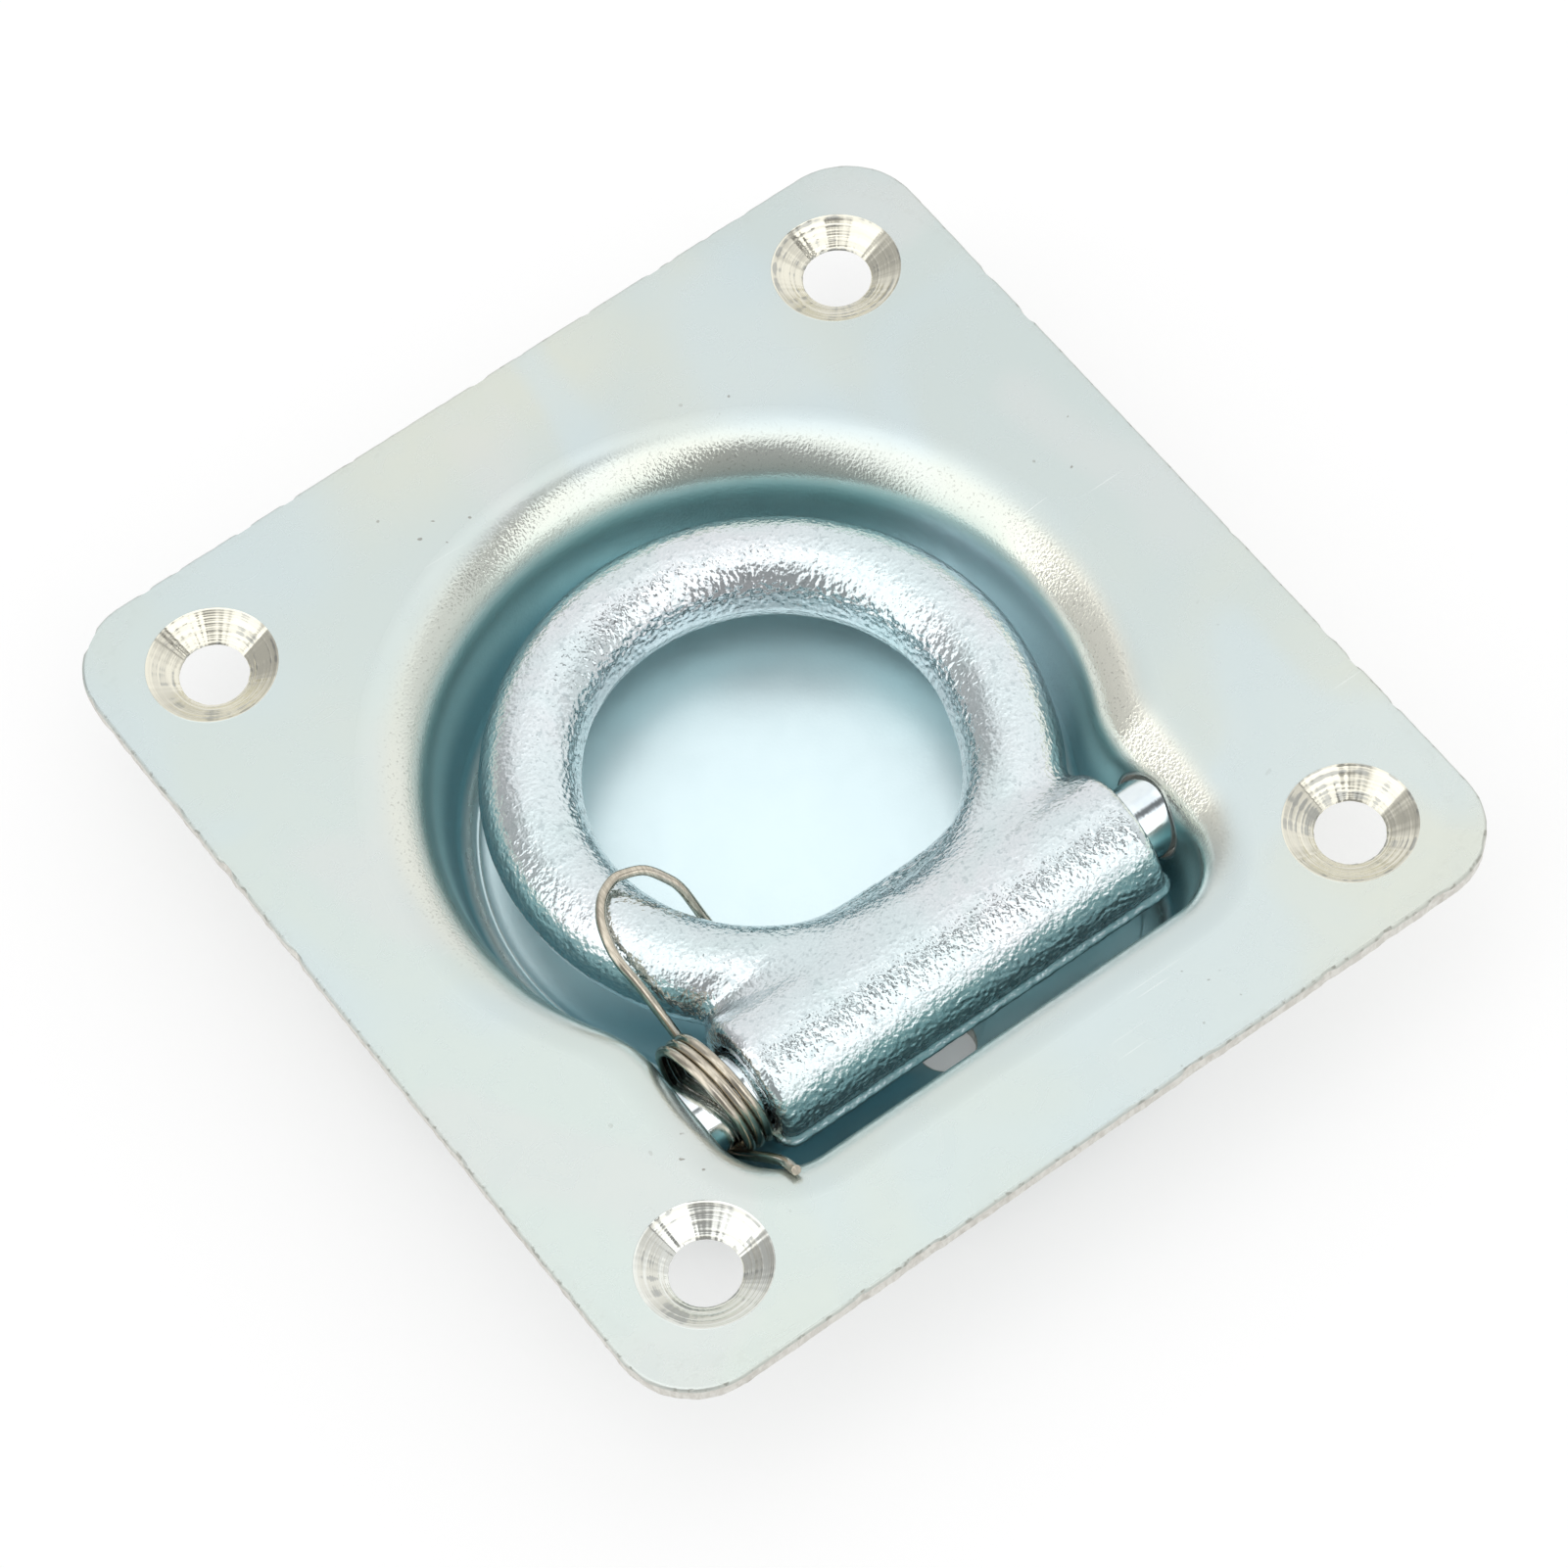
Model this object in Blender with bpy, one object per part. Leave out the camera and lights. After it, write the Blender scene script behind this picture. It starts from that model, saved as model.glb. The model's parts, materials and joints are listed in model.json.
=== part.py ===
"""Recessed lashing ring: a pressed dish plate, a forged ring on a pin, and its torsion spring.

Frame: metres, +Z up. The origin is under the centre of the plate, on the underside of the
dish floor. +X runs along the pin from the spring end to the plain end. +Y runs from the pin
to the far side of the ring.
"""
import math

import bmesh
import bpy
from mathutils import Vector

MM = 0.001

# Plate
PLATE_WIDTH = 101.6 * MM
PLATE_LENGTH = 107.8 * MM
PLATE_CORNER_RADIUS = 8.5 * MM
PLATE_EDGE_ROUND = 0.4 * MM
SHEET = 2.0 * MM

# Countersunk screw holes, one near each corner
HOLE_DIAMETER = 7.1 * MM
COUNTERSINK_DIAMETER = 13.4 * MM
COUNTERSINK_ANGLE = 118.0
HOLE_INSET_X = 12.0 * MM
HOLE_INSET_Y = 11.7 * MM

# Ring forging
RING_BAR_DIAMETER = 10.2 * MM
RING_WINDOW_DIAMETER = 37.7 * MM
BARREL_DIAMETER = 14.7 * MM
BARREL_LENGTH = 46.3 * MM
BARREL_END_ROUND = 0.8 * MM
BAR_INTO_BARREL = 3.8 * MM
WEB_WIDTH = 17.0 * MM
WEB_DIAMETER = 4.4 * MM
WEB_INTO_WINDOW = 1.35 * MM

# Pin
PIN_DIAMETER = 8.2 * MM
PIN_CLEARANCE = 0.35 * MM
PIN_PROJECTION = 2.0 * MM
PIN_END_CHAMFER = 0.4 * MM
STAKE_LENGTH = 0.8 * MM
STAKE_WIDTH = 2.0 * MM
STAKE_RISE = 0.5 * MM

# Dish
BARREL_BELOW_PLATE = 0.05 * MM
FLOOR_GAP = 1.15 * MM
RING_SIDE_GAP = 3.6 * MM
RING_FAR_GAP = 2.7 * MM
BARREL_FRONT_GAP = 4.2 * MM
SPRING_ROOM = 5.7 * MM
PLAIN_END_GAP = 3.0 * MM
DISH_OFFSET_X = -1.15 * MM
DISH_OFFSET_Y = 0.9 * MM
LIP_WIDTH = 5.5 * MM
LIP_HEIGHT = 4.1 * MM
FLOOR_RADIUS = 3.2 * MM
DRAFT = 11.0
EAR_CORNER_RADIUS = 7.0 * MM
EAR_JUNCTION_RADIUS = 10.0 * MM
DRAIN_DIAMETER = 5.9 * MM
DRAIN_FROM_PIN = 4.3 * MM
DRAIN_FROM_MIDDLE = -2.2 * MM

# Torsion spring; angles in degrees
WIRE_DIAMETER = 1.05 * MM
COIL_MEAN_DIAMETER = 12.5 * MM
COIL_PITCH = 1.09 * MM
COIL_FROM_BARREL = 2.95 * MM
COIL_LIFT_Y = 0.75 * MM
COIL_LIFT_Z = 1.05 * MM
COIL_SKEW = -0.08
COIL_START = 228.0
COIL_END = 1392.0
COIL_STEP = 18.0
# The tail crosses the lip at the corner of the trough: bearing round the corner, angle over the lip.
TAIL_ROUTE = ((246.0, 32.0), (235.0, 70.0))
# The hook wraps the ring: bearing round the ring, angle round the bar, height off the bar.
HOOK_ROUTE = (
    (209.9, 28.5, 1.0 * MM),
    (204.3, 48.0, 1.6 * MM),
    (200.4, 57.5, 1.4 * MM),
    (195.8, 72.0, 1.1 * MM),
    (192.1, 90.7, 0.9 * MM),
    (190.4, 111.0, 1.1 * MM),
    (191.1, 124.0, 1.5 * MM),
    (194.0, 139.0, 2.2 * MM),
    (199.4, 153.0, 2.3 * MM),
    (204.3, 164.6, 2.1 * MM),
    (212.0, 189.8, 1.4 * MM),
    (217.0, 205.0, 1.3 * MM),
)
CLEARANCE = 0.3 * MM

# Mesh fineness, in steps
ARC_STEPS = 22
JUNCTION_STEPS = 4
CORNER_STEPS = 7
BEND_STEPS = 6
ROUND_STEPS = 32

# Sizes that follow from those above
ring_mean_radius = (RING_WINDOW_DIAMETER + RING_BAR_DIAMETER) / 2
ring_outer_radius = ring_mean_radius + RING_BAR_DIAMETER / 2
barrel_radius = BARREL_DIAMETER / 2
pin_radius = PIN_DIAMETER / 2
pin_depth = barrel_radius + BARREL_BELOW_PLATE
dish_depth = pin_depth + barrel_radius + FLOOR_GAP
height = dish_depth + SHEET
pin_z = height - pin_depth

draft = math.radians(DRAFT)
lip_turn = math.atan(LIP_WIDTH / LIP_HEIGHT / math.tan(draft))
lip_run = LIP_WIDTH * math.sin(lip_turn)
lip_drop = LIP_HEIGHT * (1 - math.cos(lip_turn))
floor_run = FLOOR_RADIUS * math.cos(draft)
floor_rise = FLOOR_RADIUS * (1 - math.sin(draft))
wall_run = (dish_depth - lip_drop - floor_rise) * math.tan(draft)
pin_level_inset = lip_run + (pin_depth - lip_drop) * math.tan(draft)

dish_radius = ring_outer_radius + RING_SIDE_GAP + pin_level_inset
ear_half_width = (BARREL_LENGTH + SPRING_ROOM + PLAIN_END_GAP) / 2 + pin_level_inset
ring_y = DISH_OFFSET_Y + RING_SIDE_GAP - RING_FAR_GAP
pin_y = ring_y - ring_mean_radius - BAR_INTO_BARREL
front_y = pin_y - barrel_radius - BARREL_FRONT_GAP - pin_level_inset
ring_x = DISH_OFFSET_X + (SPRING_ROOM - PLAIN_END_GAP) / 2


def clear_scene():
    for obj in list(bpy.data.objects):
        bpy.data.objects.remove(obj, do_unlink=True)


def plated_steel(name, colour, roughness):
    material = bpy.data.materials.new(name)
    material.use_nodes = True
    shader = material.node_tree.nodes["Principled BSDF"]
    shader.inputs["Base Color"].default_value = (*colour, 1.0)
    shader.inputs["Metallic"].default_value = 1.0
    shader.inputs["Roughness"].default_value = roughness
    return material


def new_object(name, bm, material=None):
    bmesh.ops.recalc_face_normals(bm, faces=bm.faces)
    mesh = bpy.data.meshes.new(name)
    bm.to_mesh(mesh)
    bm.free()
    mesh.shade_smooth()
    mesh.set_sharp_from_angle(angle=math.radians(35))
    obj = bpy.data.objects.new(name, mesh)
    bpy.context.scene.collection.objects.link(obj)
    if material:
        mesh.materials.append(material)
    return obj


def boolean(obj, other, operation):
    """Combine obj with other, a guide that is not a part of its own."""
    other.hide_render = True
    other.display_type = "WIRE"
    modifier = obj.modifiers.new(other.name, "BOOLEAN")
    modifier.operation = operation
    modifier.solver = "EXACT"
    modifier.object = other


def arc(centre_x, centre_y, radius, start, end, steps):
    """Points on an arc, from the start angle to the end angle in radians, both included."""
    angles = [start + (end - start) * i / steps for i in range(steps + 1)]
    return [(centre_x + radius * math.cos(a), centre_y + radius * math.sin(a)) for a in angles]


def dish_outline(inset, corner_radius):
    """Plan outline of the dish, moved inwards by inset from where the lip leaves the plate.

    It is a round bowl whose pin side runs out into a squarer trough between two ears.
    """
    junction = EAR_JUNCTION_RADIUS
    junction_x = ear_half_width + junction
    junction_y = -math.sqrt((dish_radius + junction) ** 2 - junction_x**2)
    meeting = math.atan2(junction_y, junction_x)
    corner_x = ear_half_width - inset - corner_radius
    corner_y = front_y - DISH_OFFSET_Y + inset + corner_radius
    right = arc(0, 0, dish_radius - inset, math.pi / 2, meeting, ARC_STEPS)
    right += arc(junction_x, junction_y, junction + inset, meeting + math.pi, math.pi, JUNCTION_STEPS)[1:]
    right += arc(corner_x, corner_y, corner_radius, 0, -math.pi / 2, CORNER_STEPS)
    left = [(-x, y) for x, y in reversed(right[1:])]
    return [(x + DISH_OFFSET_X, y + DISH_OFFSET_Y) for x, y in right + left]


def plate_outline(inset):
    """Plan outline of the plate: a rectangle with rounded corners."""
    radius = PLATE_CORNER_RADIUS - inset
    x = PLATE_WIDTH / 2 - PLATE_CORNER_RADIUS
    y = PLATE_LENGTH / 2 - PLATE_CORNER_RADIUS
    points = []
    for i, (sign_x, sign_y) in enumerate(((1, 1), (-1, 1), (-1, -1), (1, -1))):
        start = i * math.pi / 2
        points += arc(sign_x * x, sign_y * y, radius, start, start + math.pi / 2, CORNER_STEPS)
    return points


def lip_place(turn, above):
    """Inset and depth of a point above the lip's upper face, turn radians round its bend."""
    slope = Vector((LIP_HEIGHT * math.sin(turn), -LIP_WIDTH * math.cos(turn))).normalized()
    inset = LIP_WIDTH * math.sin(turn) + above * slope.x
    depth = LIP_HEIGHT * (1 - math.cos(turn)) + above * slope.y
    return inset, depth


def dish_levels(sheet_depth):
    """Outlines down one face of the dish, from the lip to the floor, as (outline, z).

    sheet_depth is 0 for the upper face, and SHEET for the face under it.
    """
    floor = FLOOR_RADIUS + sheet_depth
    wall_corner = EAR_CORNER_RADIUS + sheet_depth * math.cos(draft)
    full_inset = lip_run + wall_run + floor_run
    levels = []
    for i in range(BEND_STEPS + 1):
        inset, depth = lip_place(lip_turn * i / BEND_STEPS, -sheet_depth)
        corner = EAR_CORNER_RADIUS + lip_run - inset
        levels.append((dish_outline(inset, corner), height - depth))
    for i in range(BEND_STEPS + 1):
        a = draft + (math.pi / 2 - draft) * i / BEND_STEPS
        inset = full_inset - floor * math.cos(a)
        levels.append((dish_outline(inset, wall_corner), SHEET - sheet_depth + floor * (1 - math.sin(a))))
    return levels


def add_loop(bm, outline, z):
    verts = [bm.verts.new((x, y, z)) for x, y in outline]
    return [bm.edges.new((verts[i - 1], verts[i])) for i in range(len(verts))]


def bridge(bm, loops):
    for upper, lower in zip(loops, loops[1:]):
        bmesh.ops.bridge_loops(bm, edges=upper + lower)


def build_pan(material):
    bm = bmesh.new()
    upper = [add_loop(bm, outline, z) for outline, z in dish_levels(0)]
    lower = [add_loop(bm, outline, z) for outline, z in dish_levels(SHEET)]
    rim = [
        add_loop(bm, plate_outline(PLATE_EDGE_ROUND), height),
        add_loop(bm, plate_outline(0), height - PLATE_EDGE_ROUND),
        add_loop(bm, plate_outline(0), height - SHEET),
    ]
    for loops in (upper, lower, rim):
        bridge(bm, loops)
    flat_faces = (rim[0] + upper[0], rim[-1] + lower[0], upper[-1], lower[-1])
    for edges in flat_faces:
        bmesh.ops.triangle_fill(bm, edges=edges, use_beauty=True)
    pan = new_object("dish_plate", bm, material)

    hole_x = PLATE_WIDTH / 2 - HOLE_INSET_X
    hole_y = PLATE_LENGTH / 2 - HOLE_INSET_Y
    for i, (x, y) in enumerate(((-hole_x, -hole_y), (hole_x, -hole_y), (hole_x, hole_y), (-hole_x, hole_y))):
        boolean(pan, countersink_cutter(f"screw_hole_{i}", x, y), "DIFFERENCE")
    drain = turned("drain_cutter", [(DRAIN_DIAMETER / 2, -SHEET), (DRAIN_DIAMETER / 2, 2 * SHEET)])
    drain.location = (DRAIN_FROM_MIDDLE, pin_y - DRAIN_FROM_PIN, 0)
    boolean(pan, drain, "DIFFERENCE")
    pin_hole_radius = pin_radius + PIN_CLEARANCE
    reach = ear_half_width
    pin_holes = turned("pin_hole_cutter", [(pin_hole_radius, -reach), (pin_hole_radius, reach)])
    lay_along_x(pin_holes, DISH_OFFSET_X)
    boolean(pan, pin_holes, "DIFFERENCE")
    return pan


def countersink_cutter(name, x, y):
    half_angle = math.radians(COUNTERSINK_ANGLE / 2)
    rim = COUNTERSINK_DIAMETER / 2
    bore = HOLE_DIAMETER / 2
    cone_depth = (rim - bore) / math.tan(half_angle)
    over = SHEET
    profile = [
        (bore, height - 2 * SHEET),
        (bore, height - cone_depth),
        (rim, height),
        (rim, height + over),
    ]
    cutter = turned(name, profile)
    cutter.location = (x, y, 0)
    return cutter


def turned(name, profile, material=None, steps=ROUND_STEPS):
    """A solid of revolution about Z from (radius, z) points, lowest first, with flat ends."""
    bm = bmesh.new()
    loops = []
    for radius, z in profile:
        ring = arc(0, 0, radius, 0, 2 * math.pi * (1 - 1 / steps), steps - 1)
        loops.append(add_loop(bm, ring, z))
    bridge(bm, loops)
    for loop in (loops[0], loops[-1]):
        bmesh.ops.contextual_create(bm, geom=loop)
    return new_object(name, bm, material)


def lay_along_x(obj, x=0.0):
    """Turn an object that was modelled along Z so that it lies along the pin axis."""
    obj.rotation_euler = (0, math.pi / 2, 0)
    obj.location = (x, pin_y, pin_z)


def build_ring(material):
    half = BARREL_LENGTH / 2
    end = barrel_radius - BARREL_END_ROUND
    profile = [(end, -half), (barrel_radius, BARREL_END_ROUND - half)]
    profile += [(radius, -z) for radius, z in reversed(profile)]
    ring = turned("ring", profile, material)
    lay_along_x(ring, ring_x)

    bm = bmesh.new()
    steps = 2 * ARC_STEPS
    centre = Vector((ring_x, ring_y, pin_z))
    section = arc(ring_mean_radius, 0, RING_BAR_DIAMETER / 2, 0, 2 * math.pi * 15 / 16, 15)
    loops = []
    for i in range(steps):
        a = 2 * math.pi * i / steps
        verts = [bm.verts.new(centre + Vector((r * math.cos(a), r * math.sin(a), z))) for r, z in section]
        loops.append([bm.edges.new((verts[j - 1], verts[j])) for j in range(len(verts))])
    bridge(bm, loops + loops[:1])
    boolean(ring, new_object("ring_bar_guide", bm), "UNION")

    # A low web fills the window's foot, so that it is flat where the bar runs along the barrel.
    web_radius = WEB_DIAMETER / 2
    web = turned("web_guide", [(web_radius, -WEB_WIDTH / 2), (web_radius, WEB_WIDTH / 2)])
    lay_along_x(web, ring_x)
    web.location.y = ring_y - RING_WINDOW_DIAMETER / 2 + WEB_INTO_WINDOW - web_radius
    boolean(ring, web, "UNION")

    bore_radius = pin_radius + PIN_CLEARANCE
    bore = turned("bore_cutter", [(bore_radius, -BARREL_LENGTH), (bore_radius, BARREL_LENGTH)])
    lay_along_x(bore, ring_x)
    boolean(ring, bore, "DIFFERENCE")
    return ring


def outer_wall_x(side, depth):
    """Where the outer face of an ear wall stands, at a depth below the plate."""
    inset = lip_run + (depth - lip_drop) * math.tan(draft) - SHEET / math.cos(draft)
    return DISH_OFFSET_X + side * (ear_half_width - inset)


def build_pin(material):
    ends = [outer_wall_x(side, pin_depth) + side * PIN_PROJECTION for side in (-1, 1)]
    length = ends[1] - ends[0]
    middle = sum(ends) / 2
    tip = pin_radius - PIN_END_CHAMFER
    profile = [(tip, -length / 2), (pin_radius, PIN_END_CHAMFER - length / 2)]
    profile += [(radius, -z) for radius, z in reversed(profile)]
    pin = turned("pivot_pin", profile, material)
    lay_along_x(pin, middle)
    # Metal staked outwards at the ends, below and on both sides, keeps the pin in the ears.
    reach = pin_radius + STAKE_RISE
    for side, end in zip((-1, 1), ends):
        start = outer_wall_x(side, pin_depth) + side * CLEARANCE
        for name, half_y, low, high in (
            ("down", STAKE_WIDTH / 2, -reach, 0),
            ("across", reach, -STAKE_WIDTH / 2, STAKE_WIDTH / 2),
        ):
            bm = bmesh.new()
            bmesh.ops.create_cube(bm, size=1.0)
            for vert in bm.verts:
                vert.co.x = start + side * (STAKE_LENGTH if vert.co.x > 0 else 0)
                vert.co.y = pin_y + (half_y if vert.co.y > 0 else -half_y)
                vert.co.z = pin_z + (high if vert.co.z > 0 else low)
            boolean(pin, new_object(f"stake_{name}_{'left' if side < 0 else 'right'}", bm), "UNION")
    return pin


def coil_point(angle):
    """A point on the coil. The angle is about the pin, in degrees from +Y towards +Z."""
    a = math.radians(angle)
    along_y = COIL_MEAN_DIAMETER / 2 * math.cos(a)
    along_z = COIL_MEAN_DIAMETER / 2 * math.sin(a)
    middle_x = ring_x - BARREL_LENGTH / 2 - COIL_FROM_BARREL
    x = middle_x + COIL_PITCH * (angle - (COIL_START + COIL_END) / 2) / 360
    x += COIL_SKEW * (along_y + along_z)
    return Vector((x, pin_y + COIL_LIFT_Y + along_y, pin_z + COIL_LIFT_Z + along_z))


def tail_point(bearing, over_lip):
    """A point on the tail, just clear of the lip where it turns the left corner of the trough."""
    spread = EAR_CORNER_RADIUS + lip_run
    inset, depth = lip_place(math.radians(over_lip), WIRE_DIAMETER / 2 + CLEARANCE)
    bearing = math.radians(bearing)
    x = DISH_OFFSET_X - ear_half_width + spread + (spread - inset) * math.cos(bearing)
    y = front_y + spread + (spread - inset) * math.sin(bearing)
    return Vector((x, y, height - depth))


def hook_point(bearing, round_bar, off_bar):
    """A point on the hook, off_bar clear of the ring's bar."""
    stand_off = RING_BAR_DIAMETER / 2 + off_bar
    bearing = math.radians(bearing)
    round_bar = math.radians(round_bar)
    reach = ring_mean_radius + stand_off * math.cos(round_bar)
    x = ring_x + reach * math.cos(bearing)
    y = ring_y + reach * math.sin(bearing)
    return Vector((x, y, pin_z + stand_off * math.sin(round_bar)))


def smooth_route(points, steps):
    """Points along a smooth curve through the given points, without its first and last spans."""
    route = []
    for before, start, end, after in zip(points, points[1:], points[2:], points[3:]):
        for i in range(steps):
            t = i / steps
            route.append(
                0.5
                * (
                    2 * start
                    + (end - before) * t
                    + (2 * before - 5 * start + 4 * end - after) * t**2
                    + (3 * start - before - 3 * end + after) * t**3
                )
            )
    return route


def build_spring(material):
    steps = round((COIL_END - COIL_START) / COIL_STEP)
    coil = [coil_point(COIL_START + (COIL_END - COIL_START) * i / steps) for i in range(steps + 1)]
    tail = [tail_point(*place) for place in TAIL_ROUTE]
    hook = [hook_point(*place) for place in HOOK_ROUTE]
    tail_end = 2 * tail[0] - tail[1]
    hook_end = 2 * hook[-1] - hook[-2]
    points = smooth_route([tail_end, *tail, coil[0], coil[1]], 4)
    points += coil[:-1]
    points += smooth_route([coil[-2], coil[-1], *hook, hook_end], 3)
    points.append(hook[-1])
    curve = bpy.data.curves.new("torsion_spring", "CURVE")
    curve.dimensions = "3D"
    curve.bevel_depth = WIRE_DIAMETER / 2
    curve.bevel_resolution = 2
    curve.use_fill_caps = True
    spline = curve.splines.new("POLY")
    spline.points.add(len(points) - 1)
    for place, point in zip(spline.points, points):
        place.co = (*point, 1.0)
    curve.materials.append(material)
    obj = bpy.data.objects.new("torsion_spring", curve)
    bpy.context.scene.collection.objects.link(obj)
    return obj


def main():
    clear_scene()
    build_pan(plated_steel("zinc_sheet", (0.72, 0.77, 0.76), 0.32))
    build_ring(plated_steel("zinc_forging", (0.78, 0.80, 0.80), 0.35))
    build_pin(plated_steel("bright_pin", (0.80, 0.83, 0.84), 0.12))
    build_spring(plated_steel("spring_wire", (0.45, 0.40, 0.35), 0.30))


main()
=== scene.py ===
"""Looks of the recessed lashing ring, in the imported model's frame: metres, +X along the pin, +Z up."""

import json
import math

import bmesh
import bpy
import numpy as np
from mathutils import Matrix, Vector, noise


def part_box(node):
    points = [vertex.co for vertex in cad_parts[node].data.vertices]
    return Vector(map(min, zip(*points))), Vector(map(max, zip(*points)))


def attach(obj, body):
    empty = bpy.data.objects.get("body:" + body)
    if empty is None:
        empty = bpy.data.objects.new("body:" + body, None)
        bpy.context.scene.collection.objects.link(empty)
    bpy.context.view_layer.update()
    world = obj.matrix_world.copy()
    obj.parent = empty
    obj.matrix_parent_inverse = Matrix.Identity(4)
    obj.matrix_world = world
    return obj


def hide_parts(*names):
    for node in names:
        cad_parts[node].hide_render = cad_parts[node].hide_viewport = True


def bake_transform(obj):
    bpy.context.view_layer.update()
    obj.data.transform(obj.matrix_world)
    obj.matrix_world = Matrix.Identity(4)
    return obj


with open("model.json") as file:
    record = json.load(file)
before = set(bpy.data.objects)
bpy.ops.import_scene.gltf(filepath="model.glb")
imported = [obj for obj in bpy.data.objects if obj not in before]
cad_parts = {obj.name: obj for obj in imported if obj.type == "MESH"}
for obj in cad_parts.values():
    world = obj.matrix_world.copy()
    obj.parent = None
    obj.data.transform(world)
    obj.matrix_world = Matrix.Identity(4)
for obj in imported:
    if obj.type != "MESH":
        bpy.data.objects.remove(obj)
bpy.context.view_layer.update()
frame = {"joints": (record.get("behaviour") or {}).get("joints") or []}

MM = 0.001

# Plate
PLATE_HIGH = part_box("dish_plate")[1]
HEIGHT = PLATE_HIGH[2]
SHEET = 2.0 * MM
PLATE_CORNER = 8.5 * MM
EDGE_ROUND = 0.4 * MM
# How the sheared side runs down: (depth, how far it wanders inwards, in millimetres, and noise seed)
SHEARED_SIDE = ((0.75, 0.08, 1.0), (1.1, 0.20, 5.0), (1.5, 0.24, 9.0), (1.85, 0.22, 13.0))

# Countersunk screw holes
HOLE_X = PLATE_HIGH[0] - 12.0 * MM
HOLE_Y = PLATE_HIGH[1] - 11.7 * MM
BORE = 7.1 / 2 * MM
RIM = 13.4 / 2 * MM
CONE_HALF_ANGLE = math.radians(59)
CONE_DEPTH = (RIM - BORE) / math.tan(CONE_HALF_ANGLE)

# Dish
DISH_X = -1.15 * MM
DISH_Y = 0.9 * MM
DISH_DEPTH = HEIGHT - SHEET
LIP_WIDTH = 5.5 * MM
LIP_HEIGHT = 4.1 * MM
EASY_RADIUS = 7.2 * MM
FLOOR_RADIUS = 3.2 * MM
DRAFT = math.radians(11)
EAR_CORNER = 7.0 * MM
EAR_JUNCTION = 10.0 * MM
RING_SIDE_GAP = 3.6 * MM
SPRING_ROOM = 5.7 * MM
PLAIN_END_GAP = 3.0 * MM
BARREL_FRONT_GAP = 4.2 * MM

# Pin, ring and wire
HINGE = Vector(frame["joints"][0]["pos_m"])
RING_X = 0.2 * MM
RING_Y = 1.8 * MM
RING_RADIUS = 23.95 * MM
BAR_RADIUS = 5.1 * MM
BARREL_RADIUS = 7.35 * MM
BARREL_HALF = 23.15 * MM
WEB_RADIUS = 2.2 * MM
WEB_HALF = 8.5 * MM
WEB_Y = -17.9 * MM
PIN_RADIUS = 4.1 * MM
BORE_RADIUS = 4.45 * MM
WIRE_RADIUS = 0.525 * MM

# Drain hole in front of the pin, and its punch from below: (added to its radius, height), in millimetres
DRAIN_X = -2.2 * MM
DRAIN_Y = HINGE.y - 4.3 * MM
DRAIN_RADIUS = 5.9 / 2 * MM
DRAIN_PUNCH = (
    (0.5, -0.4),
    (0.1, 0.0),
    (0.02, 0.1),
    (0.0, 0.3),
    (0.0, 1.84),
    (0.05, 1.95),
    (0.16, 2.0),
    (1.0, 2.6),
)

# Material slots of the plate
SHEET_SLOT, CONE_SLOT, EDGE_SLOT = range(3)

# Steps round and along the meshes
LIP_STEPS = 26
WALL_STEPS = 5
FILLET_STEPS = 40
EDGE_STEPS = 170
ROUND_STEPS = 96

lip_turn = math.atan(LIP_WIDTH / LIP_HEIGHT / math.tan(DRAFT))
lip_run = LIP_WIDTH * math.sin(lip_turn)
lip_drop = LIP_HEIGHT * (1 - math.cos(lip_turn))
floor_run = FLOOR_RADIUS * math.cos(DRAFT)
floor_rise = FLOOR_RADIUS * (1 - math.sin(DRAFT))
wall_run = (DISH_DEPTH - lip_drop - floor_rise) * math.tan(DRAFT)
dish_run = lip_run + wall_run + floor_run
pin_inset = lip_run + (HEIGHT - HINGE.z - lip_drop) * math.tan(DRAFT)
dish_radius = RING_RADIUS + BAR_RADIUS + RING_SIDE_GAP + pin_inset
ear_half = BARREL_HALF + (SPRING_ROOM + PLAIN_END_GAP) / 2 + pin_inset
front_y = HINGE.y - BARREL_RADIUS - BARREL_FRONT_GAP - pin_inset


# ---------------------------------------------------------------- mesh helpers


def to_mesh(bm, name):
    mesh = bpy.data.meshes.new(name)
    bm.to_mesh(mesh)
    bm.free()
    return mesh


def add_object(name, data):
    obj = bpy.data.objects.new(name, data)
    bpy.context.scene.collection.objects.link(obj)
    return obj


def finish_mesh(name, mesh, materials, sharp):
    """The mesh as an object with its materials, smooth except at edges over `sharp` degrees."""
    mesh.shade_smooth()
    mesh.set_sharp_from_angle(angle=math.radians(sharp))
    used = np.zeros(len(mesh.polygons), dtype=np.int32)
    mesh.polygons.foreach_get("material_index", used)
    mesh.materials.clear()
    for material in materials:
        mesh.materials.append(material)
    mesh.polygons.foreach_set("material_index", np.minimum(used, len(materials) - 1))
    return add_object(name, mesh)


def add_loop(bm, points):
    return [bm.verts.new(p) for p in points]


def bridge(bm, loops, slot=0):
    """Quads between each loop and the next; all have as many points, in the same order."""
    for a, b in zip(loops, loops[1:]):
        for i in range(len(a)):
            bm.faces.new((a[i - 1], a[i], b[i], b[i - 1])).material_index = slot


def fill(bm, *loops):
    """Flat faces inside the first loop and outside the others."""
    edges = [bm.edges.get((loop[i - 1], loop[i])) for loop in loops for i in range(len(loop))]
    bmesh.ops.triangle_fill(bm, edges=edges, use_beauty=True, normal=(0, 0, 1))


def cap(bm, loops):
    """Flat ends on the first and last loops, with all faces turned outwards."""
    for loop in (loops[0], loops[-1]):
        bm.faces.new(loop)
    bmesh.ops.recalc_face_normals(bm, faces=bm.faces)


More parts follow.
